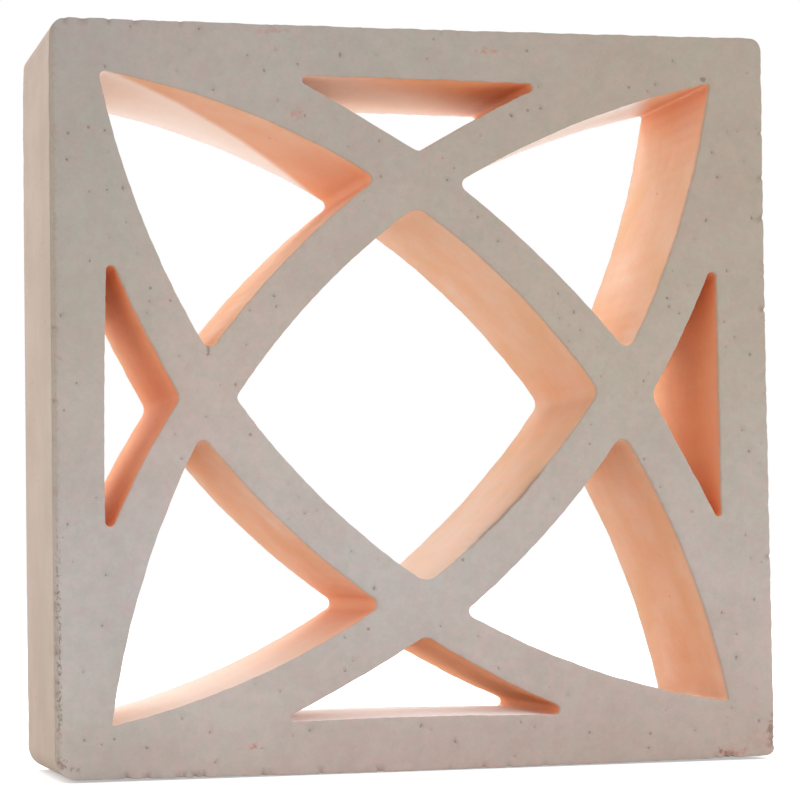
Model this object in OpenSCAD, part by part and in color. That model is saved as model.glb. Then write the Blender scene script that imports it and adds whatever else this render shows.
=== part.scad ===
// Square clay breeze block, one solid: a plain frame around a tracery of four bowed bands.
// Millimetres, +Z up, laid face towards -Y, origin at the middle of the underside.

/* [Block] */
// width across the laid face
body_w = 200; // [170:1:260]
// height of the laid face
body_h = 201; // [170:1:260]
// depth through the wall, the length the clay was cut to
body_d = 58; // [30:1:120]
// radius of the four long outer arrises
corner_r = 4; // [1:0.5:7]

/* [Tracery] */
// width of the plain frame around the openings
border_w = 13.8; // [10:0.2:18]
// width of each bowed band
band_w = 11.7; // [8:0.1:15]
// how far a band's inner edge bows out from the line between two opposite corners inside the frame
bow = 39.4; // [33:0.1:44]

/* [Opening corners] */
// fillet in the corners where two bands cross
fillet_r = 2.4; // [1:0.1:4]
// fillet in the narrow tips where a band runs into the frame
tip_r = 1.3; // [0.8:0.1:3]

/* [Hidden] */
$fn = 240;

// half sizes of the face and of the space inside the frame
half_w = body_w / 2;
half_h = body_h / 2;
in_w = half_w - border_w;
in_h = half_h - border_w;

// each band's inner edge is an arc from one corner inside the frame to the opposite one
reach = norm([in_w, in_h]);
swing = (reach * reach - bow * bow) / (2 * bow);

// the four arc centres are (+-arc_x, +-arc_z), kept to a hundredth of a millimetre
arc_x = round(100 * swing * in_h / reach) / 100;
arc_z = round(100 * swing * in_w / reach) / 100;
r_in = round(100 * (swing + bow)) / 100;
r_out = r_in + band_w;

// centres of the bands that bow to the upper right, upper left and lower right
low_left = [-arc_x, -arc_z];
low_right = [arc_x, -arc_z];
up_left = [-arc_x, arc_z];

// a fillet circle bites this far into the walls it rounds, so that it meets them cleanly
bite = 0.002;
// how far a fillet's body is sunk into the clay behind the walls
sink = band_w / 4;

// where circles about p and q cross: side 1 is on the left going from p to q, -1 on the right
function crossing(p, rp, q, rq, side) =
    let (
        gap = q - p,
        apart = norm(gap),
        along = (rp * rp - rq * rq + apart * apart) / (2 * apart),
        off = sqrt(rp * rp - along * along)
    )
    p + gap * along / apart + side * off * [-gap[1], gap[0]] / apart;

// unit vector from a to b
function heading(a, b) = (b - a) / norm(b - a);

// every piece of the face is pushed through the full depth, as the clay was through its die
module through() {
    linear_extrude(height = body_d) children();
}

// the clay that turns a sharp corner of an opening into a fillet of radius r about o,
// with wall_a and wall_b pointing from o square to the two walls
module corner_fill(o, wall_a, wall_b, r) {
    mid = wall_a + wall_b;
    apex = 2 * r / (mid * mid);
    through() difference() {
        polygon([
            o,
            o + wall_a * (r + sink),
            o + mid * apex + mid / norm(mid) * sink,
            o + wall_b * (r + sink)
        ]);
        translate(o) circle(r);
    }
}

module frame() {
    through() difference() {
        union() {
            square([body_w - 2 * corner_r, body_h], center = true);
            square([body_w, body_h - 2 * corner_r], center = true);
            for (x = [-1, 1], z = [-1, 1])
                translate([x * (half_w - corner_r), z * (half_h - corner_r)]) circle(corner_r);
        }
        square([2 * in_w, 2 * in_h], center = true);
    }
}

// one bowed band, ending inside the clay of the frame
module band(centre) {
    through() intersection() {
        translate(centre) difference() {
            circle(r_out);
            circle(r_in);
        }
        square([body_w - border_w, body_h - border_w], center = true);
    }
}

// corners of the middle opening, and the blunt corners of the four side openings
module axis_fills() {
    d = fillet_r - bite;
    top = crossing(low_left, r_in - d, low_right, r_in - d, 1);
    right = crossing(low_left, r_in - d, up_left, r_in - d, -1);
    top_side = crossing(low_left, r_out + d, low_right, r_out + d, 1);
    right_side = crossing(low_left, r_out + d, up_left, r_out + d, -1);
    for (z = [0, 1]) mirror([0, z]) {
        corner_fill(top, heading(low_left, top), heading(low_right, top), fillet_r);
        corner_fill(top_side, heading(top_side, low_left), heading(top_side, low_right), fillet_r);
    }
    for (x = [0, 1]) mirror([x, 0]) {
        corner_fill(right, heading(low_left, right), heading(up_left, right), fillet_r);
        corner_fill(right_side, heading(right_side, low_left), heading(right_side, up_left), fillet_r);
    }
}

// narrow tips of the side openings in one quarter of the face
module tip_fills() {
    d = tip_r - bite;
    top_z = in_h - d;
    top_x = arc_x - sqrt(pow(r_out + d, 2) - pow(top_z + arc_z, 2));
    side_x = in_w - d;
    side_z = arc_z - sqrt(pow(r_out + d, 2) - pow(side_x + arc_x, 2));
    top = [top_x, top_z];
    side = [side_x, side_z];
    corner_fill(top, [0, 1], heading(top, low_right), tip_r);
    corner_fill(side, [1, 0], heading(side, up_left), tip_r);
}

// the three corners of the opening in one quarter of the face
module quarter_fills() {
    d = fillet_r - bite;
    outer = crossing(low_right, r_in - d, up_left, r_in - d, -1);
    upper = crossing(low_left, r_out + d, low_right, r_in - d, 1);
    lower = crossing(low_left, r_out + d, up_left, r_in - d, -1);
    corner_fill(outer, heading(low_right, outer), heading(up_left, outer), fillet_r);
    corner_fill(upper, heading(upper, low_left), heading(low_right, upper), fillet_r);
    corner_fill(lower, heading(lower, low_left), heading(up_left, lower), fillet_r);
}

// built lying on its back, then stood up with the laid face towards -Y
module block() {
    color([0.72, 0.67, 0.62])
        translate([0, body_d / 2, half_h])
            rotate([90, 0, 0]) {
                frame();
                for (x = [-1, 1], z = [-1, 1]) band([x * arc_x, z * arc_z]);
                axis_fills();
                for (x = [0, 1], z = [0, 1]) mirror([x, 0]) mirror([0, z]) {
                    tip_fills();
                    quarter_fills();
                }
            }
}

block();
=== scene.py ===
"""The looks of a fired-clay breeze block: its own mesh, clay, light and camera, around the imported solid."""
import math

import bpy
import numpy as np
from mathutils import Matrix, Vector
from mathutils.geometry import delaunay_2d_cdt
from mathutils.kdtree import KDTree


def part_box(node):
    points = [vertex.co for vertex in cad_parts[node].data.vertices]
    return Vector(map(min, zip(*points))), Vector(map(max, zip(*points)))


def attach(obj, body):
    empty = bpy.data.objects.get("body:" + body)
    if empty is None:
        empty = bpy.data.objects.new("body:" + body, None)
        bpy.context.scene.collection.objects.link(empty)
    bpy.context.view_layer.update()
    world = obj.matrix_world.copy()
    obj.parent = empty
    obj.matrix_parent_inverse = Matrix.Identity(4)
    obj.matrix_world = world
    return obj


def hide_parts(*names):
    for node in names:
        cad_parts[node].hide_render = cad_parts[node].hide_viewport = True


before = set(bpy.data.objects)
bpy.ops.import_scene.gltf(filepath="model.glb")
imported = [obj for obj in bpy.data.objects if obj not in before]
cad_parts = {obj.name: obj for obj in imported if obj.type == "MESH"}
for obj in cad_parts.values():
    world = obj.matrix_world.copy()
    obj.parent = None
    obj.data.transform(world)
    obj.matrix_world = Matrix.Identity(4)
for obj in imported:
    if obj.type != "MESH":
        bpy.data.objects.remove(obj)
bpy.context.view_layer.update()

# Sizes of the face in millimetres, about its middle, x to the right and z up
MM = 0.001
low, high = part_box("block")
WIDTH = (high.x - low.x) / MM
DEPTH = (high.y - low.y) / MM
HEIGHT = (high.z - low.z) / MM
BORDER = 13.8
BAND = 11.7
BOW = 39.4

# The middle of the block's height, in metres
MIDDLE_Z = (low.z + high.z) / 2

# The real block came out of the kiln a little smaller than its nominal size, and sits a little left and up
SHRINK = 0.996
SHIFT = (-0.3, 0.37)

# The corners of the face, anticlockwise from the lower left
AROUND = ((-1, -1), (1, -1), (1, 1), (-1, 1))
# How far each corner of the real outline sits outside (+) the nominal one, in x and in z, and its rounding
OUTLINE_CORNERS = {
    (-1, 1): (-0.1, -0.45, 5.0),
    (1, 1): (0.75, -0.05, 3.4),
    (-1, -1): (0.0, -0.1, 6.0),
    (1, -1): (-0.2, -0.2, 2.6),
}
# How far the middles of the lower, right, upper and left sides stand out from straight
OUTLINE_BOWS = (0.65, -0.35, -0.35, 0.3)

# The openings in the quarters of the face, and those against its sides
QUARTERS = (("upper_right", 1, 1), ("upper_left", -1, 1), ("lower_left", -1, -1), ("lower_right", 1, -1))
NARROW = ("top", "bottom", "right", "left")

# How each opening's core sat in the die: moved right, moved up, turned anticlockwise in degrees, and grown
CORES = {
    "middle": (0.2, 0.0, 0.8, 0.0),
    "upper_right": (0.0, 0.0, 1.6, -0.1),
    "upper_left": (-0.1, 0.1, 0.6, 0.0),
    "lower_left": (-0.4, 0.3, 1.8, -0.3),
    "lower_right": (0.1, 0.4, 1.1, -0.1),
    "top": (0.6, 0.0, 0.0, -0.3),
    "bottom": (0.2, 0.0, -0.4, 0.5),
    "right": (-0.2, -0.3, -0.1, -0.3),
    "left": (0.0, -0.2, -0.7, -0.3),
}

# Walls that are bent or lean besides: how far into the clay (+) they lie at the start, halfway and at the end
BENT_WALLS = {
    ("middle", 0): (-0.3, -0.1, 0.0),
    ("middle", 1): (-0.2, 0.0, 0.0),
    ("middle", 2): (0.1, 0.1, -0.2),
    ("middle", 3): (-0.2, -0.6, -0.4),
    ("upper_right", 0): (-0.7, -0.1, -0.4),
    ("upper_right", 1): (-0.3, -0.5, -0.2),
    ("upper_right", 2): (-0.3, -0.6, 0.0),
    ("upper_left", 0): (-0.3, -0.4, -0.6),
    ("upper_left", 1): (0.0, -0.1, 0.3),
    ("upper_left", 2): (-0.3, -0.4, -0.4),
    ("lower_left", 0): (-0.1, -0.1, -0.2),
    ("lower_left", 1): (0.5, -0.1, -0.2),
    ("lower_left", 2): (-0.2, -0.3, -0.2),
    ("lower_right", 0): (-0.3, -0.1, -0.1),
    ("lower_right", 1): (-0.2, -0.3, -0.1),
    ("lower_right", 2): (-0.5, -0.4, 0.0),
    ("top", 0): (-0.8, 0.0, 0.0),
    ("top", 1): (-0.2, -0.1, -0.4),
    ("top", 2): (-0.6, -0.3, -0.2),
    ("bottom", 0): (-0.5, 0.0, 0.0),
    ("bottom", 1): (-0.1, 0.0, -0.1),
    ("bottom", 2): (-0.3, -0.5, -0.1),
    ("right", 0): (-0.7, 0.0, -0.2),
    ("right", 1): (-0.2, 0.0, 0.0),
    ("left", 1): (-0.2, 0.0, 0.0),
    ("left", 2): (0.0, 0.3, 0.1),
}

# Radii of each opening's fillets, in the order of its corners
FILLETS = {
    "middle": (4.5, 1.7, 4.8, 4.0),
    "upper_right": (2.8, 0.6, 2.0),
    "upper_left": (2.3, 1.4, 2.0),
    "lower_left": (2.0, 0.5, 2.1),
    "lower_right": (2.5, 0.7, 1.9),
    "top": (2.4, 1.2, 1.2),
    "bottom": (3.4, 1.4, 1.1),
    "right": (5.0, 1.3, 0.9),
    "left": (3.8, 1.3, 1.3),
}

# Gentle waves of the edges of the openings, of the outline and in the size of an arris: length and height
OPENING_WAVES = ((23, 0.06), (9, 0.05), (4, 0.035))
OUTLINE_WAVES = ((31, 0.06), (12, 0.06), (5, 0.05))
ARRIS_WAVES = ((17, 0.2), (6, 0.14), (2.5, 0.1))

# The usual radius of an arris, its smallest and largest radius, and the length of edge to one small chip
ARRIS_SIZE = 0.25
ARRIS_LIMITS = (0.12, 2.2)
CHIP_EVERY = 22
# How much rounder an arris is on walls that face left, where the wire dragged clay over it
OPENING_DRAG = {"front": 0.35, "back": 0.8}
OUTLINE_DRAG = {"front": 0.0, "back": 1.3}

# Worn runs of the block's front arris: the side, where the run starts and ends, how many nicks, and how deep
WORN_RUNS = (
    ("low", -84, -38, 14, 0.55),
    ("low", -36, 40, 10, 0.4),
    ("low", 81, 87, 3, 0.9),
    ("left", -84, -50, 24, 0.4),
    ("left", -45, 30, 6, 0.35),
    ("high", -98, -57, 10, 0.45),
    ("high", -50, 60, 8, 0.2),
    ("right", 72, 80, 3, 0.8),
    ("right", 18, 70, 9, 0.5),
    ("right", -60, 10, 8, 0.35),
    ("right", -97, -90, 4, 0.6),
)
# The front arris of the middle opening is broken along its lower right wall: middle, half length and depth
LIP_MIDDLE = (25.5, -32.5)
LIP_REACH = 16.5
LIP_DEPTH = 0.4

# Depths over which a nick and the dirt in it run out, how fast the dirt darkens with a bite, and how fast the
# painted shade along the broken lip of the middle opening darkens with its bite
NICK_RUN_OUT = 2.5
DIRT_RUN_OUT = 1.5
NICK_DIRT = 2.2
LIP_SHADE = 4.5
# The painted shade of the broken lip starts inside the opening, within this depth
LIP_UNSHADED = 0.2

# Painted shade: a deeper orange where walls meet and light bounces between them. Its full reach, the length
# over which it fades, and its share in the middle
NOOK_REACH = 2
NOOK_FADE = 11
MIDDLE_NOOK = 0.4
# The block's own lower right corner, below this height, has no nook
NOOK_LOWEST = -75
# Painted shade: the right opening is as orange below this height as it would be at this distance from a nook
RIGHT_NOOK_HEIGHT = -6
RIGHT_NOOK_DISTANCE = 13
# Walls of the bottom opening that face down by more than this share get painted shade as orange as this near
# a nook
SLANTED = 0.3
SLANT_NOOK_DISTANCE = 3.0
# Depth over which the painted shade, darker and redder, in the mouths of the narrow openings fades
MOUTH_DEPTH = 12

# Openings with painted light, pale patches where light from behind falls on the walls that face up (1) or
# down (-1): the x where the pale part ends at the front and at the back, the width over which it fades, and
# how strong it is
PAINTED_LIGHT_PATCHES = {
    "upper_left": (-1, -84, -16, 8, 0.92),
    "upper_right": (-1, 64, 84, 8, 1.0),
    "top": (-1, -24, 60, 50, 0.62),
    "bottom": (1, 34, 36, 20, 1.0),
    "lower_left": (1, -35, -35, 60, 0.6),
    "middle": (1, 15, 15, 60, 0.3),
}

# Stains on the front face: place, half width, half height, strength, and 1 for red or 0 for brown
STAINS = (
    (19.3, 94.5, 4.0, 1.0, 0.5, 1), (-33.6, 75.9, 2.2, 2.2, 0.35, 1), (-47.6, -92.2, 1.4, 1.4, 0.75, 1),
    (-40.0, 98.0, 6.0, 0.9, 0.3, 1), (-98.0, -95.3, 1.6, 1.6, 0.6, 0), (-95.5, -96.8, 2.2, 0.9, 0.5, 0),
    (83.0, 88.4, 1.5, 0.9, 0.6, 0), (83.4, -97.6, 1.4, 1.0, 0.7, 0), (87.5, -98.4, 6.0, 1.1, 0.45, 1),
    (98.0, -92.5, 1.1, 4.0, 0.55, 0), (-58.4, 12.6, 0.6, 1.4, 0.5, 0), (94.0, -96.0, 6.0, 4.0, 0.15, 1),
)

# The pits that show most on the front: place on the face, and radius of the dark spot
PITS = (
    (-85.2, 87.2, 0.4), (-42.3, 87.3, 0.45), (-33.1, 89.3, 0.45), (-21.4, 92.1, 0.6), (-46.9, 91.2, 0.4),
    (-59.9, 98.0, 0.5), (-78.3, 98.0, 0.4), (-66.1, 86.5, 0.35), (-56.2, 81.7, 0.5), (-95.5, 62.2, 0.6),
    (-85.4, 70.2, 0.5), (-80.8, 54.9, 0.5), (-84.9, 54.3, 0.4), (-89.7, 35.5, 0.4), (-68.4, 25.2, 0.5),
    (-74.1, 24.9, 0.35), (-97.5, 21.1, 0.45), (-93.5, 3.4, 0.45), (-40.5, 26.6, 0.5), (-39.9, 23.9, 0.4),
    (-58.5, 11.2, 0.5), (-51.2, 3.0, 0.5), (-10.6, 59.3, 0.45), (-10.9, 69.0, 0.35), (-31.4, 75.4, 0.4),
    (-96.8, -3.8, 0.4), (-96.2, -33.5, 0.45), (-65.9, -16.6, 0.35), (-86.3, -46.8, 0.4), (-87.4, -59.9, 0.5),
    (-92.3, -89.5, 0.45), (-58.0, -96.3, 0.4), (-76.0, -92.0, 0.45), (-59.3, -88.4, 0.45),
    (-66.6, -84.6, 0.35), (-32.5, -88.8, 0.45), (-1.9, -88.4, 0.5), (-22.6, -73.3, 0.45),
    (-14.3, -51.5, 0.6), (-22.5, -64.5, 0.4),
    (10.0, 62.0, 0.45), (8.0, 58.7, 0.55), (16.5, 48.7, 0.4), (22.1, 42.2, 0.35), (73.6, 93.3, 0.4),
    (60.6, 85.5, 0.5), (68.3, 86.5, 0.5), (35.0, 79.0, 0.5), (26.5, 76.7, 0.55), (84.6, 67.8, 0.5),
    (86.0, 61.0, 0.6), (82.5, 48.8, 0.5), (96.0, 49.7, 0.55), (88.2, 34.8, 0.4), (70.5, 27.0, 0.6),
    (71.0, 24.6, 0.45), (73.9, 22.8, 0.35), (39.0, 28.0, 0.35), (43.4, 23.0, 0.45), (90.0, 16.3, 0.35),
    (94.5, 11.5, 0.6), (63.1, 4.0, 0.45), (47.1, -13.2, 0.45), (91.6, -9.6, 0.4), (93.5, -15.5, 0.55),
    (91.9, -38.7, 0.35), (94.0, -56.6, 0.5), (84.3, -60.0, 0.4), (88.6, -66.0, 0.4), (88.3, -72.3, 0.55),
    (94.6, -90.0, 0.5), (62.2, -96.4, 0.5), (45.4, -91.7, 0.45), (25.9, -88.3, 0.4), (7.4, -93.0, 0.45),
    (19.9, -73.7, 0.4), (3.9, -62.0, 0.4), (33.5, -38.4, 0.45),
)
# The hole of a listed pit, as a share of its dark spot
PIT_HOLE = 0.68
# Smaller pits besides: how many on the front and on the back, their radii, and how far they keep from an edge
# and from each other
FRONT_PITS = 75
BACK_PITS = 110
SMALL_PIT = (0.1, 0.23)
PIT_MARGIN = 1.3
PIT_GAP = 2.4
# A pit's corners, its rings (share of its radius, depth as a share of it, stain) and its floor's depth
PIT_SIDES = 8
PIT_RINGS = ((1.0, 0.0, 0.1), (0.7, 0.4, 0.9))
PIT_FLOOR = 0.7

# Phases of the gentle swell of the front face and of the back face
FRONT_PHASE = 0.7
BACK_PHASE = 2.1

# Spacing of the mesh along an opening's edge and the outline, on the front face and on the back face
EDGE_STEP = 0.85
OUTLINE_STEP = 0.45
FRONT_GRID = 1.6
BACK_GRID = 2.4
# Rows through the depth as shares of the half between an arris and the middle
WALL_ROWS = (0.05, 0.14, 0.3, 0.52, 0.76, 1.0)
# Rows that round an arris, from the face to the wall: the angle, and the share of the wall's colour there
ARRIS_ROWS = ((0.0, 0.0), (32.0, 0.0), (62.0, 0.2), (90.0, 0.65))


def unit(v):
    return v / np.hypot(*v)


class Arc:
    """A round wall. The opening lies outside the circle for side 1 and inside it for side -1."""

    def __init__(self, centre, radius, side):
        self.centre = np.array(centre, float)
        self.radius = radius
        self.side = side

    def distance(self, p):
        """How far p is from the wall, into the opening, and the direction away from the wall."""
        out = p - self.centre
        return self.side * (np.hypot(*out) - self.radius), self.side * unit(out)

    def run(self, a, b, step):
        return arc_points(self.centre, a, b, step)


class Straight:
    """A straight wall of an opening, with its normal pointing into the opening."""

    def __init__(self, normal, offset):
        self.normal = np.array(normal, float)
        self.offset = offset

    def distance(self, p):
        return p @ self.normal - self.offset, self.normal

    def run(self, a, b, step):
        count = max(2, round(float(np.hypot(*(b - a))) / step))
        return [a + (b - a) * k / count for k in range(count)]


def foot(wall, p):
    """The point of a wall nearest to p."""
    gap, away = wall.distance(p)
    return p - gap * away


def wall_through(a, m, b, inner):
    """The round or straight wall through three points, with the point inner on the opening's side."""
    across = np.array([a[1] - b[1], b[0] - a[0]])
    bulge = float((m - a) @ across) / float(np.hypot(*across))
    if abs(bulge) < 1e-3:
        normal = unit(across) * np.sign((inner - a) @ across)
        return Straight(normal, float(normal @ a))
    centre = np.linalg.solve(np.array([m - a, b - m]), np.array([(m @ m - a @ a) / 2, (b @ b - m @ m) / 2]))
    radius = float(np.hypot(*(a - centre)))
    return Arc(centre, radius, np.sign(np.hypot(*(inner - centre)) - radius))


def arc_points(centre, a, b, step):
    """Points from a towards b round a centre, the short way, without b itself."""
    radius = float(np.hypot(*(a - centre)))
    start = math.atan2(a[1] - centre[1], a[0] - centre[0])
    end = math.atan2(b[1] - centre[1], b[0] - centre[0])
    sweep = (end - start + math.pi) % (2 * math.pi) - math.pi
    count = max(3, round(abs(sweep) * radius / step))
    angles = [start + sweep * k / count for k in range(count)]
    return [centre + radius * np.array([math.cos(t), math.sin(t)]) for t in angles]


def fillet_centre(wall_a, wall_b, radius, near):
    """The point at one radius from both walls, by Newton steps from a point near it."""
    p = np.array(near, float)
    for _ in range(20):
        gap_a, away_a = wall_a.distance(p)
        gap_b, away_b = wall_b.distance(p)
        p = p - np.linalg.solve(np.array([away_a, away_b]), np.array([gap_a - radius, gap_b - radius]))
    return p


def rounded_loop(walls, fillets, near, spacing):
    """The points round walls and fillets, anticlockwise, and the fillet centres.

    Corner k lies between walls k and k + 1.
    """
    count = len(walls)
    centres = [fillet_centre(walls[k], walls[(k + 1) % count], fillets[k], near[k]) for k in range(count)]
    points = []
    for k in range(count):
        following = walls[(k + 1) % count]
        points += walls[k].run(foot(walls[k], centres[k - 1]), foot(walls[k], centres[k]), spacing)
        corner_step = min(spacing, 0.4 * fillets[k])
        points += arc_points(centres[k], foot(walls[k], centres[k]), foot(following, centres[k]), corner_step)
    points = np.array(points)
    if signed_area(points) < 0:
        points = points[::-1]
    return points, np.array(centres)


def signed_area(p):
    q = np.roll(p, -1, axis=0)
    return 0.5 * float(np.sum(p[:, 0] * q[:, 1] - q[:, 0] * p[:, 1]))


def band_arcs():
    """How far out the centres of the four bands lie, the radius inside a band, and the frame's inner corner.

    The inner edge of each band springs from two opposite corners inside the frame.
    """
    inside = np.array([WIDTH / 2 - BORDER, HEIGHT / 2 - BORDER])
    reach = np.hypot(*inside)
    swing = (reach ** 2 - BOW ** 2) / (2 * BOW)
    return swing * inside[::-1] / reach, swing + BOW, inside


ARC_CENTRE, INNER_RADIUS, INSIDE = band_arcs()


def inner_edge(sx, sz):
    return Arc(ARC_CENTRE * (sx, sz), INNER_RADIUS, -1)


def outer_edge(sx, sz):
    return Arc(ARC_CENTRE * (sx, sz), INNER_RADIUS + BAND, 1)


def nominal_openings():
    """Walls of the nine openings, and a point near each fillet."""
    found = {}
    crossing = 49.0
    found["middle"] = (
        [inner_edge(sx, sz) for sx, sz in AROUND],
        [(0, crossing), (-crossing, 0), (0, -crossing), (crossing, 0)],
    )
    far, near, wide = 82.0, 20.0, 62.0
    for name, sx, sz in QUARTERS:
        # the fillets: beside the end opening, in the frame's corner, and beside the upper or lower opening
        walls = [outer_edge(-sx, -sz), inner_edge(-sx, sz), inner_edge(sx, -sz)]
        found[name] = (walls, [(wide * sx, near * sz), (far * sx, far * sz), (near * sx, wide * sz)])
    blunt, tip_out, tip_along = 73.0, 85.0, 29.0
    for name, s in (("top", 1), ("bottom", -1)):
        walls = [outer_edge(-1, -s), outer_edge(1, -s), Straight((0, -s), -INSIDE[1])]
        found[name] = (walls, [(0, blunt * s), (tip_along, tip_out * s), (-tip_along, tip_out * s)])
    for name, s in (("right", 1), ("left", -1)):
        walls = [outer_edge(-s, -1), outer_edge(-s, 1), Straight((-s, 0), -INSIDE[0])]
        found[name] = (walls, [(blunt * s, 0), (tip_out * s, tip_along), (tip_out * s, -tip_along)])
    return found


def opening_loop(name, walls, near):
    """One opening's outline with its core's own place, turn, growth, bends and fillets."""
    right, up, degrees, growth = CORES[name]
    near = [np.array(p, float) for p in near]
    pivot = np.mean(near, axis=0)
    t = math.radians(degrees)
    turn = np.array([[math.cos(t), -math.sin(t)], [math.sin(t), math.cos(t)]])

    def set_off(p):
        return turn @ (p - pivot) + pivot + (right, up)

    real_walls = []
    for k, wall in enumerate(walls):
        start, end = foot(wall, near[k - 1]), foot(wall, near[k])
        halfway = foot(wall, (start + end) / 2)
        bends = BENT_WALLS.get((name, k), (0.0, 0.0, 0.0))
        real = []
        for p, bend in zip((start, halfway, end), bends):
            away = wall.distance(p)[1]
            real.append(set_off(p - (growth + bend) * away))
        real_walls.append(wall_through(*real, set_off(pivot)))
    return rounded_loop(real_walls, FILLETS[name], [set_off(p) for p in near], EDGE_STEP)


def outline_loop():
    """The block's outline: four nearly straight sides between rounded corners."""
    corner = {}
    for (sx, sz), (out_x, out_z, radius) in OUTLINE_CORNERS.items():
        corner[sx, sz] = (np.array([sx * (WIDTH / 2 + out_x), sz * (HEIGHT / 2 + out_z)]), radius)
    sides = []
    for k in range(4):
        a, b = corner[AROUND[k]][0], corner[AROUND[(k + 1) % 4]][0]
        along = unit(b - a)
        outward = np.array([along[1], -along[0]])
        sides.append(wall_through(a, (a + b) / 2 + outward * OUTLINE_BOWS[k], b, np.zeros(2)))
    ends = [AROUND[(k + 1) % 4] for k in range(4)]
    radii = [corner[e][1] for e in ends]
    near = [corner[e][0] - np.array(e) * corner[e][1] for e in ends]
    return rounded_loop(sides, radii, near, OUTLINE_STEP)


def broken_lip(points, rng):
    """How far the front arris of the middle opening is broken away at each point."""
    reach = np.hypot(*(points - LIP_MIDDLE).T) / LIP_REACH
    rough = rng.uniform(0.4, 1.0, len(points))
    rough = (rough + np.roll(rough, 1) + np.roll(rough, 2)) / 3
    return LIP_DEPTH * rough * np.clip(1 - reach ** 2, 0, None) ** 0.5


class Edge:
    """One closed edge of the face: its points, the way out of the clay, and the wear of its arrises."""

    def __init__(self, name, points, tips, rng):
        self.name = name
        self.is_outline = name == "outline"
        step = np.roll(points, -1, axis=0) - points
        lengths = np.hypot(step[:, 0], step[:, 1])
        self.distance = np.concatenate([[0], np.cumsum(lengths)[:-1]])
        self.length = float(lengths.sum())
        tangent = np.roll(points, -1, axis=0) - np.roll(points, 1, axis=0)
        tangent /= np.hypot(tangent[:, 0], tangent[:, 1])[:, None]
        left = np.stack([-tangent[:, 1], tangent[:, 0]], axis=1)
        self.out = -left if self.is_outline else left
        wave = self.waves(OUTLINE_WAVES if self.is_outline else OPENING_WAVES, rng)
        real = SHRINK * (points + self.out * wave[:, None] + SHIFT)
        self.points = np.clip(real, (-WIDTH / 2, -HEIGHT / 2), (WIDTH / 2, HEIGHT / 2))
        front = self.arris_size("front", rng)
        self.notch = self.bites(points, rng)
        self.front_arris = np.clip(front + 0.5 * self.notch, *ARRIS_LIMITS)
        self.back_arris = np.clip(self.arris_size("back", rng), *ARRIS_LIMITS)
        self.nook_distance = self.nooks(points, tips)

    def waves(self, waviness, rng):
        """A closed wave: for each pair of wavelength and height, two sines that differ by one turn."""
        total = np.zeros_like(self.distance)
        for wavelength, height in waviness:
            turns = max(1, round(self.length / wavelength))
            for n in (turns, turns + 1):
                phase = rng.uniform(0, 2 * math.pi)
                total += 0.5 * height * np.sin(2 * math.pi * n * self.distance / self.length + phase)
        return total

    def chip(self, at, width, deep):
        """One small chip at a place along the edge: how deep it is at each point."""
        gap = np.abs(self.distance - at)
        gap = np.minimum(gap, self.length - gap)
        return deep * np.clip(1 - (gap / width) ** 2, 0, None) ** 2

    def arris_size(self, face, rng):
        """How round the arris on one face is at each point, from waves, the drag of the wire and chips."""
        drag = (OUTLINE_DRAG if self.is_outline else OPENING_DRAG)[face]
        size = ARRIS_SIZE * (1 + self.waves(ARRIS_WAVES, rng)) + drag * np.clip(-self.out[:, 0], 0, 1)
        for _ in range(int(self.length / CHIP_EVERY)):
            at = rng.uniform(0, self.length)
            width = rng.uniform(0.6, 2.0)
            size += self.chip(at, width, rng.uniform(0.1, 0.4))
        return size

    def nicks(self, rng):
        """How far each point of the outline is bitten into the clay by the nicks of the worn runs."""
        bitten = np.zeros_like(self.distance)
        sides = {"low": (0, -1), "right": (1, 0), "high": (0, 1), "left": (-1, 0)}
        for side, start, end, count, deep in WORN_RUNS:
            out_x, out_z = sides[side]
            for along in rng.uniform(start, end, count):
                place = (out_x * WIDTH / 2, along) if out_x else (along, out_z * HEIGHT / 2)
                at = self.distance[np.argmin(np.hypot(*(self.points - place).T))]
                deepest = deep * rng.uniform(0.3, 1.0) ** 1.5
                width = rng.uniform(0.5, 1.1) + 0.7 * deepest
                bitten = np.maximum(bitten, self.chip(at, width, deepest))
        return bitten * rng.uniform(0.55, 1.0, len(bitten))

    def bites(self, points, rng):
        """How far the front arris is bitten away at each point."""
        if self.is_outline:
            return self.nicks(rng)
        if self.name == "middle":
            return broken_lip(points, rng)
        return np.zeros(len(points))

    def nooks(self, points, tips):
        """How far each point is from a corner where the walls are painted a deeper orange, as painted shade.

        These are the corners on the right of each opening and all corners of the left and bottom ones, but
        not the block's own lower right corner. The lower part of the right opening and the slanted walls of
        the bottom one count as near a corner all along.
        """
        found = np.full(len(points), 1000.0)
        if self.is_outline:
            return found
        deep_from = np.mean(tips[:, 0]) + 0.25 * np.ptp(tips[:, 0])
        for tip in tips:
            if self.name in ("left", "bottom") or (tip[0] > deep_from and tip[1] > NOOK_LOWEST):
                found = np.minimum(found, np.hypot(*(points - tip).T))
        if self.name == "right":
            above = np.clip(points[:, 1] - RIGHT_NOOK_HEIGHT, 0, None)
            found = np.minimum(found, RIGHT_NOOK_DISTANCE + above)
        if self.name == "bottom":
            found[self.out[:, 1] < -SLANTED] = SLANT_NOOK_DISTANCE
        return found


def build_edges(rng):
    outline, corners = outline_loop()
    edges = [Edge("outline", outline, corners, rng)]
    for name, (walls, near) in nominal_openings().items():
        points, centres = opening_loop(name, walls, near)
        edges.append(Edge(name, points, centres, rng))
    return edges


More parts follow.
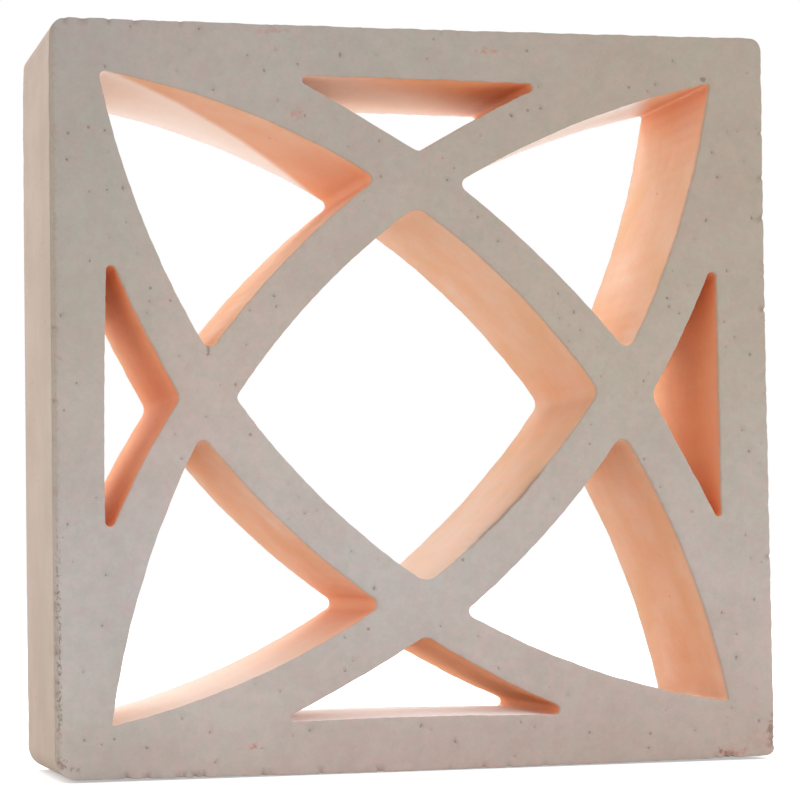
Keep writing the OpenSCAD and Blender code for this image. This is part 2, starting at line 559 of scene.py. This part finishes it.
def inside_loop(p, loop):
    """Which of the points p lie inside a closed outline, by counting crossings."""
    a, b = loop, np.roll(loop, -1, axis=0)
    inside = np.zeros(len(p), bool)
    for (ax, az), (bx, bz) in zip(a, b):
        if az == bz:
            continue
        crosses = (p[:, 1] < az) != (p[:, 1] < bz)
        inside ^= crosses & (p[:, 0] < ax + (p[:, 1] - az) / (bz - az) * (bx - ax))
    return inside


def in_clay(p, loops):
    """Which of the points p lie inside the first loop, the outline, and outside all the others."""
    found = inside_loop(p, loops[0])
    for loop in loops[1:]:
        found &= ~inside_loop(p, loop)
    return found


def clearance(p, loops):
    """Distance of each point from the nearest edge point."""
    every = np.concatenate(loops)
    tree = KDTree(len(every))
    for k, (x, z) in enumerate(every):
        tree.insert((x, z, 0), k)
    tree.balance()
    return np.array([tree.find((x, z, 0))[2] for x, z in p])


def swell(p, phase):
    """How far a cut face dips below flat at p, in millimetres, never above it."""
    x, z = p[:, 0] / 1000, p[:, 1] / 1000
    rise = np.sin(38 * x + 21 * z + phase) + np.sin(17 * x - 44 * z + 2 * phase)
    fine = np.sin(150 * x + 60 * z) * np.sin(90 * z - 130 * x + phase)
    return 0.16 + 0.06 * rise + 0.02 * fine


class MeshParts:
    """Vertices, faces and per-vertex shares collected for one mesh."""

    def __init__(self):
        self.places = []
        self.faces = []
        names = ("wall", "side", "pit", "nook", "bloom", "inside_bloom", "worn", "narrow", "mouth", "broad")
        self.shares = {name: [] for name in names}
        self.count = 0

    def add(self, places, **shares):
        """Adds vertices with their shares, those not given being 0, and returns their numbers."""
        first = self.count
        self.places.append(places)
        for name, kept in self.shares.items():
            kept.append(np.broadcast_to(np.asarray(shares.get(name, 0.0), float), (len(places),)))
        self.count += len(places)
        return np.arange(first, self.count)

    def add_face(self, corners):
        self.faces.append(tuple(int(v) for v in corners))


def place_rows(edge):
    """The rows of an edge: inset into the clay, depth behind the front face, and share of wall colour."""
    front, back = edge.front_arris, edge.back_arris
    half = DEPTH / 2
    rows = []
    for angle, share in ARRIS_ROWS:
        t = math.radians(angle)
        rows.append((front * (1 - math.sin(t)), front * (1 - math.cos(t)), share))
    for share in WALL_ROWS:
        rows.append((np.zeros_like(front), front + (half - front) * share, 1.0))
    for share in WALL_ROWS[-2::-1]:
        rows.append((np.zeros_like(back), DEPTH - back - (half - back) * share, 1.0))
    for angle, share in ARRIS_ROWS[::-1]:
        t = math.radians(angle)
        rows.append((back * (1 - math.sin(t)), DEPTH - back * (1 - math.cos(t)), share))
    # a nick bites deepest at the face and runs out within a few millimetres
    return [
        (inset + edge.notch * np.exp(-depth / NICK_RUN_OUT), depth, share)
        for inset, depth, share in rows
    ]


def bloom(edge, depth):
    """How strong the painted light is on one row of walls, and how far inside its pale part each point lies.
    """
    if edge.name not in PAINTED_LIGHT_PATCHES:
        return 0.0, 0.0
    facing, front_end, back_end, fade, strength = PAINTED_LIGHT_PATCHES[edge.name]
    end = front_end + (back_end - front_end) * depth / DEPTH
    return strength * np.clip((facing * edge.out[:, 1] - 0.5) / 0.25, 0, 1), (end - edge.points[:, 0]) / fade


def dirt_and_lip_shade(edge, depth):
    """How dark one row of an edge is where its front arris is bitten away: dirt in the nicks of the outline,
    and painted shade along the broken lip of the middle opening.
    """
    if edge.name == "middle":
        shown = np.clip(depth / LIP_UNSHADED, 0, 1)
        return np.clip(LIP_SHADE * edge.notch, 0, 1) * np.exp(-depth / NICK_RUN_OUT) * shown
    return np.clip(NICK_DIRT * edge.notch, 0, 1) * np.exp(-depth / DIRT_RUN_OUT)


def row_shares(edge, depth, share):
    """What the clay's colours need to know about one row of vertices, which is a wall to the given share."""
    narrow = edge.name in NARROW
    broad = edge.name == "middle"
    nook = np.exp(-np.clip(edge.nook_distance - NOOK_REACH, 0, None) / NOOK_FADE)
    if broad:
        nook = MIDDLE_NOOK * nook
    strength, inside = bloom(edge, depth)
    return {
        "side" if edge.is_outline else "wall": share,
        "nook": nook * share,
        "bloom": strength,
        "inside_bloom": inside,
        "worn": dirt_and_lip_shade(edge, depth),
        "narrow": float(narrow),
        "mouth": narrow * np.exp(-depth / MOUTH_DEPTH),
        # painted shade on the walls of the middle opening, strongest where they face up
        "broad": broad * (0.5 + 0.5 * edge.out[:, 1]),
    }


def add_walls(parts, edge):
    """The wall of one edge from the front face to the back, and its first and last rows of vertices."""
    rings = []
    for inset, depth, share in place_rows(edge):
        flat = edge.points - edge.out * inset[:, None]
        near_front = np.clip(1 - depth / (DEPTH / 2), 0, 1)
        near_back = np.clip(1 - (DEPTH - depth) / (DEPTH / 2), 0, 1)
        dip = swell(flat, FRONT_PHASE) * near_front - swell(flat, BACK_PHASE) * near_back
        places = np.stack([flat[:, 0], depth + dip, flat[:, 1]], axis=1)
        rings.append(parts.add(places, **row_shares(edge, depth, share)))
    for a, b in zip(rings[:-1], rings[1:]):
        for k in range(len(a)):
            n = (k + 1) % len(a)
            parts.add_face((a[k], b[k], b[n], a[n]) if edge.is_outline else (a[k], a[n], b[n], b[k]))
    return rings[0], rings[-1]


def hex_grid(spacing, rng):
    """Slightly shaken points in rows, over the whole face."""
    rise = spacing * math.sqrt(3) / 2
    cols = np.arange(-WIDTH / 2, WIDTH / 2 + spacing, spacing)
    rows = np.arange(-HEIGHT / 2, HEIGHT / 2 + rise, rise)
    points = np.array([(x + (k % 2) * spacing / 2, z) for k, z in enumerate(rows) for x in cols])
    return points + rng.uniform(-0.12, 0.12, points.shape) * spacing


def scatter_pits(loops, known, count, rng):
    """Places and sizes of the small pits left by burnt-out grains: x, z, radius, stretch, direction."""
    upright = math.pi / 2
    kept = []
    for x, z, radius in known:
        kept.append((x, z, PIT_HOLE * radius, rng.uniform(1.1, 2.4), rng.normal(upright, 0.6)))
    tries = rng.uniform(-1, 1, (count * 8, 2)) * (WIDTH / 2, HEIGHT / 2)
    tries = tries[in_clay(tries, loops)]
    tries = tries[clearance(tries, loops) > PIT_MARGIN]
    wanted = len(known) + count
    for p in tries:
        if len(kept) < wanted and all(np.hypot(*(p - q[:2])) > PIT_GAP for q in kept):
            kept.append((*p, rng.uniform(*SMALL_PIT), rng.uniform(1.0, 1.9), rng.normal(upright, 0.6)))
    return np.array(kept)


def ring_edges(first, count):
    """The edges that join so many points, from the first one on, into a ring."""
    return [(first + k, first + (k + 1) % count) for k in range(count)]


def pit_points(pits, before, rng):
    """The points of all pits, how deep and how stained each is, and the edges of their rings.

    The edges count the points from the number before.
    """
    points, sunk, stains, fixed = [], [], [], []
    for x, z, radius, stretch, heading in pits:
        along = np.array([math.cos(heading), math.sin(heading)])
        across = np.array([-along[1], along[0]])
        ragged = rng.uniform(0.5, 1.3, PIT_SIDES)
        for share, deep, stain in PIT_RINGS:
            fixed += ring_edges(before + len(points), PIT_SIDES)
            for k in range(PIT_SIDES):
                t = 2 * math.pi * k / PIT_SIDES
                reach = radius * share * ragged[k]
                points.append((x, z) + reach * (stretch * math.cos(t) * along + math.sin(t) * across))
                sunk.append(deep * radius)
                stains.append(stain)
        points.append(np.array((x, z)))
        sunk.append(PIT_FLOOR * radius)
        stains.append(1.0)
    return points, sunk, stains, fixed


def free_points(loops, pits, grid, rng):
    """The points of a grid over the face that are clear of its edges and its pits."""
    free = hex_grid(grid, rng)
    free = free[in_clay(free, loops)]
    free = free[clearance(free, loops) > 0.55 * grid]
    apart = np.hypot(free[:, None, 0] - pits[None, :, 0], free[:, None, 1] - pits[None, :, 1])
    return free[np.min(apart - 2.2 * pits[None, :, 2], axis=1) > 0.3]


def add_cut_face(parts, rings, depth, inward, grid, pits, phase, rng):
    """One cut face: a triangulated sheet between the rings of vertices at its edges, with real pits."""
    places = np.concatenate(parts.places)
    loops = [places[ring][:, [0, 2]] for ring in rings]
    points, kept, fixed = [], [], []
    for ring, loop in zip(rings, loops):
        fixed += ring_edges(len(points), len(loop))
        points += [tuple(p) for p in loop]
        kept += list(ring)
    pitted, sunk, stains, pit_edges = pit_points(pits, len(points), rng)
    free = free_points(loops, pits, grid, rng)
    inner = np.array(pitted + list(free))
    dip = swell(inner, phase) + np.array(sunk + [0.0] * len(free))
    stains = np.array(stains + [0.0] * len(free))
    new = parts.add(np.stack([inner[:, 0], depth + inward * dip, inner[:, 1]], axis=1), pit=stains)
    points += [tuple(p) for p in inner]
    kept += list(new)
    flat = [Vector(p) for p in points]
    _, _, triangles, origin, _, _ = delaunay_2d_cdt(flat, fixed + pit_edges, [], 0, 1e-7)
    corner = [kept[o[0]] for o in origin]
    where = np.array([points[o[0]] for o in origin])
    triangles = np.array(triangles)
    good = in_clay(where[triangles].mean(axis=1), loops)
    for a, b, c in triangles[good]:
        face = (corner[a], corner[b], corner[c])
        parts.add_face(face if inward > 0 else face[::-1])


def build_block():
    """The whole block as one closed mesh in the row frame."""
    rng = np.random.default_rng(20)
    edges = build_edges(rng)
    parts = MeshParts()
    first_rings, last_rings = [], []
    for edge in edges:
        front_ring, back_ring = add_walls(parts, edge)
        first_rings.append(front_ring)
        last_rings.append(back_ring)
    loops = [edge.points for edge in edges]
    front_pits = scatter_pits(loops, PITS, FRONT_PITS, rng)
    back_pits = scatter_pits(loops, (), BACK_PITS, rng)
    add_cut_face(parts, first_rings, 0.0, 1.0, FRONT_GRID, front_pits, FRONT_PHASE, rng)
    add_cut_face(parts, last_rings, DEPTH, -1.0, BACK_GRID, back_pits, BACK_PHASE, rng)
    places = np.concatenate(parts.places)
    middle = np.array([(low.x + high.x) / 2, low.y, MIDDLE_Z])
    mesh = bpy.data.meshes.new("fired_clay_block")
    mesh.from_pydata((places * MM + middle).tolist(), [], parts.faces)
    for name, kept in parts.shares.items():
        attribute = mesh.attributes.new(name, "FLOAT", "POINT")
        attribute.data.foreach_set("value", np.concatenate(kept).astype(np.float32))
    mesh.validate()
    mesh.shade_smooth()
    block = bpy.data.objects.new("fired_clay_block", mesh)
    bpy.context.scene.collection.objects.link(block)
    triangles = sum(len(p.vertices) - 2 for p in mesh.polygons)
    print("block mesh:", len(mesh.vertices), "vertices,", triangles, "triangles")
    return block


def linear(red, green, blue):
    """A colour as seen on a screen, 0 to 255, as the linear values that a shader takes."""
    def one(value):
        share = value / 255
        return share / 12.92 if share <= 0.04045 else ((share + 0.055) / 1.055) ** 2.4
    return one(red), one(green), one(blue), 1.0


class Shader:
    """Short names for the nodes of one material. Places and sizes in it are in metres."""

    def __init__(self, name):
        self.material = bpy.data.materials.new(name)
        self.material.use_nodes = True
        self.tree = self.material.node_tree
        self.tree.nodes.clear()

    def node(self, kind, **settings):
        made = self.tree.nodes.new(kind)
        for key, value in settings.items():
            setattr(made, key, value)
        return made

    def link(self, source, target):
        self.tree.links.new(source, target)

    def put(self, socket, value):
        """Sets a socket to a plain value, or links it to another socket."""
        if isinstance(value, bpy.types.NodeSocket):
            self.link(value, socket)
        else:
            socket.default_value = value

    def position(self):
        return self.node("ShaderNodeTexCoord").outputs["Object"]

    def share(self, name):
        return self.node("ShaderNodeAttribute", attribute_name=name).outputs["Fac"]

    def parts(self, vector):
        """The three parts of a place or of a colour."""
        split = self.node("ShaderNodeSeparateXYZ")
        self.link(vector, split.inputs[0])
        return split.outputs[0], split.outputs[1], split.outputs[2]

    def stretched(self, source, scale):
        mapping = self.node("ShaderNodeMapping")
        self.link(source, mapping.inputs["Vector"])
        mapping.inputs["Scale"].default_value = scale
        return mapping.outputs["Vector"]

    def noise(self, source, scale, detail, roughness=0.55):
        noise = self.node("ShaderNodeTexNoise")
        self.link(source, noise.inputs["Vector"])
        noise.inputs["Scale"].default_value = scale
        noise.inputs["Detail"].default_value = detail
        noise.inputs["Roughness"].default_value = roughness
        return noise.outputs["Fac"]

    def dots(self, source, scale):
        """Distance to the nearest of many scattered points, in cells, and the random colour of its cell."""
        cells = self.node("ShaderNodeTexVoronoi")
        self.link(source, cells.inputs["Vector"])
        cells.inputs["Scale"].default_value = scale
        return cells.outputs["Distance"], cells.outputs["Color"]

    def ramp(self, source, start, end, low_value=0.0, high_value=1.0):
        """Goes smoothly from low_value to high_value as source goes from start to end."""
        ramp = self.node("ShaderNodeMapRange", interpolation_type="SMOOTHSTEP")
        self.link(source, ramp.inputs["Value"])
        ramp.inputs["From Min"].default_value = start
        ramp.inputs["From Max"].default_value = end
        ramp.inputs["To Min"].default_value = low_value
        ramp.inputs["To Max"].default_value = high_value
        return ramp.outputs["Result"]

    def colours(self, source, stops):
        """A run of colours along source, from 0 to 1."""
        made = self.node("ShaderNodeValToRGB")
        self.link(source, made.inputs["Fac"])
        elements = made.color_ramp.elements
        while len(elements) < len(stops):
            elements.new(0.5)
        for element, (share, colour) in zip(elements, stops):
            element.position = share
            element.color = colour
        return made.outputs["Color"]

    def math(self, operation, *values):
        made = self.node("ShaderNodeMath", operation=operation)
        for socket, value in zip(made.inputs, values):
            self.put(socket, value)
        return made.outputs[0]

    def times(self, a, b):
        return self.math("MULTIPLY", a, b)

    def mix(self, share, a, b, blend="MIX"):
        """Mixes two colours. Inputs 6 and 7 and output 2 of a mix node are the ones for colour."""
        made = self.node("ShaderNodeMix", data_type="RGBA", blend_type=blend)
        self.put(made.inputs[0], share)
        self.put(made.inputs[6], a)
        self.put(made.inputs[7], b)
        return made.outputs[2]


# The cut face from foot to head: share of the height, and colour there. Partly painted light: the foot is
# painted paler to make up for the shade of the floor
FACE_COLOURS = (
    (0.0, linear(190, 177, 169)),
    (0.1, linear(192, 184, 178)),
    (0.25, linear(190, 184, 181)),
    (0.55, linear(182, 173, 163)),
    (0.8, linear(173, 166, 157)),
    (1.0, linear(167, 162, 155)),
)
FACE_WARM = linear(166, 154, 132)
# Tints that change the hue of the face but hardly its lightness
ROSE_TINT = (1.08, 0.965, 0.99, 1.0)
GREEN_TINT = (0.92, 0.98, 0.93, 1.0)
# The left border of the face is a little darker and less red
LEFT_TINT = (0.92, 0.94, 0.94, 1.0)
ARRIS_OLIVE = linear(160, 142, 122)
SIDE_BEIGE = linear(184, 166, 151)
SIDE_PINK = linear(190, 164, 149)
SIDE_YELLOW = linear(180, 166, 145)
WALL_SALMON = linear(234, 197, 170)
WALL_ORANGE = linear(230, 186, 149)
# painted light: the walls of the narrow openings are painted brighter
WALL_BRIGHT = linear(255, 209, 166)
# the pale of random blotches, and of the painted light patches
WALL_PALE = linear(250, 250, 247)
# the deeper orange of the streaks, and of the painted shade in the nooks
NOOK_ORANGE = linear(245, 156, 104)
# Painted shade: the walls of the middle opening are painted duller the more they face up, and the mouths of
# the narrow ones darker and redder
MIDDLE_SHADE_TINT = (0.73, 0.74, 0.74, 1.0)
MOUTH_SHADE_TINT = (0.9, 0.71, 0.64, 1.0)
DUST_GREY = linear(128, 116, 106)
SAND_PALE = linear(236, 226, 214)
PIT_BROWN = linear(116, 88, 70)
SPECK_RED = linear(186, 104, 92)

# Mottles of the cut face: scale, detail and roughness of the noise, where they start and are full, how strong
# they are, and their tint
FACE_MOTTLES = (
    (14, 2, 0.55, 0.35, 0.65, 0.5, ROSE_TINT),
    (210, 4, 0.6, 0.4, 0.62, 0.65, ROSE_TINT),
    (450, 4, 0.65, 0.42, 0.66, 0.6, GREEN_TINT),
)
# Specks and smudges: cells to a metre, how rare a cell is that has one, its rim and core in cells, how strong
# it is, and its colour
SPECKS = (
    (190, 0.88, 0.93, 0.12, 0.05, 0.5, PIT_BROWN),
    (45, 0.93, 0.95, 0.13, 0.0, 0.4, SPECK_RED),
)
# Where the front left arris lies, in metres
LEFT_ARRIS = -0.0987


def face_colour(s, place, patches):
    """The cut face: palest near its foot, partly as painted light, warmest at the upper right, mottled with
    rose and green.
    """
    x, _, z = s.parts(place)
    colour = s.colours(s.math("DIVIDE", z, HEIGHT * MM), FACE_COLOURS)
    warm = s.times(s.ramp(x, -0.08, 0.1), s.ramp(z, 0.05, 0.19, 0.28, 0.5))
    colour = s.mix(warm, colour, FACE_WARM)
    colour = s.mix(s.ramp(x, -0.06, -0.09), colour, LEFT_TINT, "MULTIPLY")
    for scale, detail, roughness, start, end, strength, tint in FACE_MOTTLES:
        mottles = s.ramp(s.noise(place, scale, detail, roughness), start, end, 0.0, strength)
        colour = s.mix(mottles, colour, tint, "MULTIPLY")
    # the left arris is a thin olive strip between the face and the side
    strip = s.ramp(x, LEFT_ARRIS + 0.4 * MM, LEFT_ARRIS - 0.2 * MM, 0.0, 0.4)
    colour = s.mix(strip, colour, ARRIS_OLIVE)
    colour = s.mix(s.ramp(s.noise(place, 300, 3, 0.6), 0.35, 0.65, 0.0, 0.09), colour, DUST_GREY)
    return s.mix(s.ramp(patches, 0.3, 0.7, 0.0, 0.1), colour, DUST_GREY)


def side_colour(s, place, patches):
    """The outer sides, with faint upright bands, and yellower toward the front."""
    bands = s.noise(s.stretched(place, (1.0, 1.0, 0.04)), 150, 3)
    colour = s.mix(s.ramp(bands, 0.35, 0.65, 0.0, 0.5), SIDE_BEIGE, SIDE_PINK)
    colour = s.mix(s.ramp(s.parts(place)[1], -0.004, -0.026, 0.0, 0.25), colour, SIDE_YELLOW)
    return s.mix(s.ramp(patches, 0.35, 0.7, 0.0, 0.1), colour, DUST_GREY)


def painted_light_share(s, place):
    """How much painted light, as pale patches, lies on the walls, with mottled edges."""
    pale = s.times(s.share("bloom"), s.ramp(s.share("inside_bloom"), -0.5, 0.5))
    return s.times(pale, s.ramp(s.noise(place, 90, 4, 0.65), 0.25, 0.6, 0.9, 1.0))


def wall_colour(s, place, pale):
    """The walls of the openings: blotches and streaks along the depth, with painted light and shade: brighter
    narrow openings, darker mouths, a duller middle, pale patches and deeper orange nooks.
    """
    streaks = s.noise(s.stretched(place, (1.0, 0.18, 1.0)), 260, 3)
    blotches = s.noise(place, 38, 4)
    colour = s.mix(s.ramp(blotches, 0.35, 0.6), WALL_ORANGE, WALL_SALMON)
    colour = s.mix(s.ramp(blotches, 0.56, 0.74, 0.0, 0.18), colour, WALL_PALE)
    # painted light: the walls of the narrow openings are painted brighter, in mottles
    mottled = s.ramp(s.noise(place, 75, 4, 0.6), 0.42, 0.6, 1.0, 0.7)
    colour = s.mix(s.times(s.share("narrow"), mottled), colour, WALL_BRIGHT)
    # painted shade: darker and redder toward the front mouths of the narrow openings
    colour = s.mix(s.share("mouth"), colour, MOUTH_SHADE_TINT, "MULTIPLY")
    # painted shade: the middle opening's walls duller the more they face up
    colour = s.mix(s.share("broad"), colour, MIDDLE_SHADE_TINT, "MULTIPLY")
    colour = s.mix(s.ramp(streaks, 0.35, 0.7, 0.0, 0.15), colour, NOOK_ORANGE)
    # painted light: pale patches where light from behind falls on the walls
    colour = s.mix(pale, colour, WALL_PALE)
    # the pale patches of painted light hide most of the deeper orange of the painted shade in the nooks
    orange = s.math("SUBTRACT", 0.55, s.times(pale, 0.45))
    return s.mix(s.times(s.share("nook"), orange), colour, NOOK_ORANGE)


def stained(s, place, colour):
    """The stains on the front face, with ragged edges."""
    x, y, z = s.parts(place)
    front = s.ramp(y, low.y + 1.2 * MM, low.y + 0.6 * MM)
    ragged = s.ramp(s.noise(place, 700, 4, 0.7), 0.3, 0.7, -0.6, 0.9)
    for stain_x, stain_z, half_width, half_height, strength, red in STAINS:
        across = s.math("MULTIPLY_ADD", x, 1 / (half_width * MM), -stain_x / half_width)
        upward = s.math("MULTIPLY_ADD", z, 1 / (half_height * MM), -(stain_z + HEIGHT / 2) / half_height)
        reach = s.math("SQRT", s.math("ADD", s.times(across, across), s.times(upward, upward)))
        share = s.times(s.ramp(s.math("ADD", reach, ragged), 1.1, 0.2, 0.0, strength), front)
        colour = s.mix(share, colour, SPECK_RED if red else PIT_BROWN)
    return colour


def grimy(s, place, colour):
    """Dark grains in the front left arris, most of all from 16 to 45 mm up."""
    x, y, z = s.parts(place)
    beside = s.ramp(s.math("ABSOLUTE", s.math("SUBTRACT", x, LEFT_ARRIS)), 1.1 * MM, 0.3 * MM)
    forward = s.ramp(y, low.y + 2.2 * MM, low.y + 1.2 * MM)
    lower = s.times(s.ramp(z, 0.07, 0.045, 0.25, 1.0), s.ramp(z, 0.008, 0.016, 0.25, 1.0))
    grains = s.ramp(s.noise(s.stretched(place, (1.0, 1.0, 0.6)), 1500, 2, 0.6), 0.5, 0.62)
    share = s.times(s.times(beside, forward), s.times(lower, grains))
    return s.mix(s.times(share, 0.65), colour, PIT_BROWN)


def specks(s, place, colour):
    """Brown specks and reddish smudges all over, the dirt in nicks and pits, and painted shade along the
    broken lip.
    """
    for scale, rare_start, rare_full, rim, core, strength, speck_colour in SPECKS:
        distance, cell = s.dots(place, scale)
        speck = s.times(s.ramp(distance, rim, core), s.ramp(s.parts(cell)[0], rare_start, rare_full))
        colour = s.mix(s.times(speck, strength), colour, speck_colour)
    # dirt in the nicks of the outline, and painted shade along the broken lip of the middle opening
    colour = s.mix(s.times(s.share("worn"), 0.6), colour, PIT_BROWN)
    return s.mix(s.times(s.share("pit"), 0.45), colour, PIT_BROWN)


def clay_material():
    """Matt clay: face, sides and walls have their own colours, the walls with painted light and shade, and
    one fine grain runs over them all.
    """
    s = Shader("fired_clay")
    place = s.position()
    patches = s.noise(place, 55, 4)
    grain = s.noise(place, 1100, 3, 0.7)
    sand = s.noise(place, 2600, 2, 0.7)

    face = stained(s, place, face_colour(s, place, patches))
    colour = s.mix(s.share("side"), face, side_colour(s, place, patches))
    colour = grimy(s, place, colour)
    pale = painted_light_share(s, place)
    colour = s.mix(s.share("wall"), colour, wall_colour(s, place, pale))
    colour = s.mix(s.ramp(grain, 0.35, 0.7, 0.0, 0.06), colour, DUST_GREY)
    colour = s.mix(s.ramp(sand, 0.55, 0.8, 0.0, 0.07), colour, SAND_PALE)
    colour = specks(s, place, colour)

    shader = s.node("ShaderNodeBsdfPrincipled")
    s.link(colour, shader.inputs["Base Color"])
    s.link(s.ramp(patches, 0.3, 0.7, 0.82, 0.94), shader.inputs["Roughness"])
    shader.inputs["Specular IOR Level"].default_value = 0.25
    # the pale patches of painted light also get a sheen, which brightens them along the surface
    narrow_sheen = s.ramp(s.share("narrow"), 0.0, 1.0, 0.4, 1.0)
    s.link(s.times(pale, narrow_sheen), shader.inputs["Sheen Weight"])
    shader.inputs["Sheen Roughness"].default_value = 0.3

    height = s.math("ADD", s.times(grain, 0.6), s.times(sand, 0.25))
    height = s.math("ADD", height, s.times(s.noise(place, 240, 3), 0.6))
    bump = s.node("ShaderNodeBump")
    bump.inputs["Strength"].default_value = 0.35
    bump.inputs["Distance"].default_value = 0.2 * MM
    s.link(height, bump.inputs["Height"])
    s.link(bump.outputs["Normal"], shader.inputs["Normal"])
    s.link(shader.outputs[0], s.node("ShaderNodeOutputMaterial").inputs["Surface"])
    return s.material


def floor_material():
    """White floor: diffuse for the light, with a little glow for the camera, so that only shadow shows."""
    s = Shader("pale_floor")
    diffuse = s.node("ShaderNodeBsdfDiffuse")
    diffuse.inputs["Color"].default_value = (0.9, 0.9, 0.9, 1)
    glow = s.node("ShaderNodeEmission")
    glow.inputs["Strength"].default_value = 0.45
    seen = s.node("ShaderNodeLightPath").outputs["Is Camera Ray"]
    dark = s.node("ShaderNodeEmission")
    dark.inputs["Strength"].default_value = 0.0
    only_seen = s.node("ShaderNodeMixShader")
    s.link(seen, only_seen.inputs[0])
    s.link(dark.outputs[0], only_seen.inputs[1])
    s.link(glow.outputs[0], only_seen.inputs[2])
    both = s.node("ShaderNodeAddShader")
    s.link(diffuse.outputs[0], both.inputs[0])
    s.link(only_seen.outputs[0], both.inputs[1])
    s.link(both.outputs[0], s.node("ShaderNodeOutputMaterial").inputs["Surface"])
    return s.material


def build_floor():
    bpy.ops.mesh.primitive_plane_add(size=12.0, location=(0, 0, low.z))
    floor = bpy.context.object
    floor.name = "floor"
    floor.data.materials.append(floor_material())


# The strength of the light from all round
WORLD_STRENGTH = 0.81
# Lamps: name, place, the point aimed at, width and watts. The third shines straight down on the floor behind
# the block, and the floor lights its walls from below.
BLOCK_MIDDLE = (0, 0, MIDDLE_Z)
LAMPS = (
    ("key", (0.7, -1.3, 0.7), BLOCK_MIDDLE, 1.2, 7.8),
    ("behind", (-0.3, 1.2, 0.2), BLOCK_MIDDLE, 0.8, 7.2),
    ("down", (-0.2, 0.75, 0.8), (-0.2, 0.75, 0), 0.8, 7.5),
)

# The camera, as solved from the block's outlines: degrees round, up and rolled, how far beside and above the
# middle of the face it aims, its distance from there, and its lens
CAMERA_ANGLES = (-14.598, -3.432, 0.952)
CAMERA_AIM = (-0.00628, -0.00112)
CAMERA_REACH = 0.7539
CAMERA_LENS = 126.19


def build_world():
    """Soft light from all round. The camera sees plain white."""
    world = bpy.data.worlds.new("studio")
    world.use_nodes = True
    tree = world.node_tree
    tree.nodes.clear()
    light = tree.nodes.new("ShaderNodeBackground")
    light.inputs["Strength"].default_value = WORLD_STRENGTH
    white = tree.nodes.new("ShaderNodeBackground")
    white.inputs["Strength"].default_value = 1.0
    for background in (light, white):
        background.inputs["Color"].default_value = (1, 1, 1, 1)
    path = tree.nodes.new("ShaderNodeLightPath")
    chosen = tree.nodes.new("ShaderNodeMixShader")
    tree.links.new(path.outputs["Is Camera Ray"], chosen.inputs[0])
    tree.links.new(light.outputs[0], chosen.inputs[1])
    tree.links.new(white.outputs[0], chosen.inputs[2])
    output = tree.nodes.new("ShaderNodeOutputWorld")
    tree.links.new(chosen.outputs[0], output.inputs["Surface"])
    bpy.context.scene.world = world


def build_lamp(name, place, aim, width, watts):
    lamp = bpy.data.lights.new(name, "AREA")
    lamp.shape = "SQUARE"
    lamp.size = width
    lamp.energy = watts
    lamp_object = bpy.data.objects.new(name, lamp)
    lamp_object.location = place
    lamp_object.rotation_euler = (Vector(aim) - Vector(place)).to_track_quat("-Z", "Y").to_euler()
    lamp_object.visible_camera = False
    bpy.context.scene.collection.objects.link(lamp_object)


def build_camera():
    """Stands low, to the left of the face, and looks slightly up."""
    azimuth, elevation, roll = (math.radians(a) for a in CAMERA_ANGLES)
    aim = Vector((CAMERA_AIM[0], low.y, MIDDLE_Z + CAMERA_AIM[1]))
    back = Vector((
        math.sin(azimuth) * math.cos(elevation),
        -math.cos(azimuth) * math.cos(elevation),
        math.sin(elevation),
    ))
    camera = bpy.data.cameras.new("camera")
    camera.sensor_width = 36.0
    camera.lens = CAMERA_LENS
    camera.clip_start = 0.01
    camera_object = bpy.data.objects.new("camera", camera)
    turn = (-back).to_track_quat("-Z", "Y").to_matrix().to_4x4() @ Matrix.Rotation(-roll, 4, "Z")
    camera_object.matrix_world = Matrix.Translation(aim + back * CAMERA_REACH) @ turn
    bpy.context.scene.collection.objects.link(camera_object)
    bpy.context.scene.camera = camera_object


block = build_block()
block.data.materials.append(clay_material())
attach(block, "root")
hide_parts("block")

build_floor()
build_world()
for lamp in LAMPS:
    build_lamp(*lamp)
build_camera()
bpy.context.scene.view_settings.view_transform = "Standard"
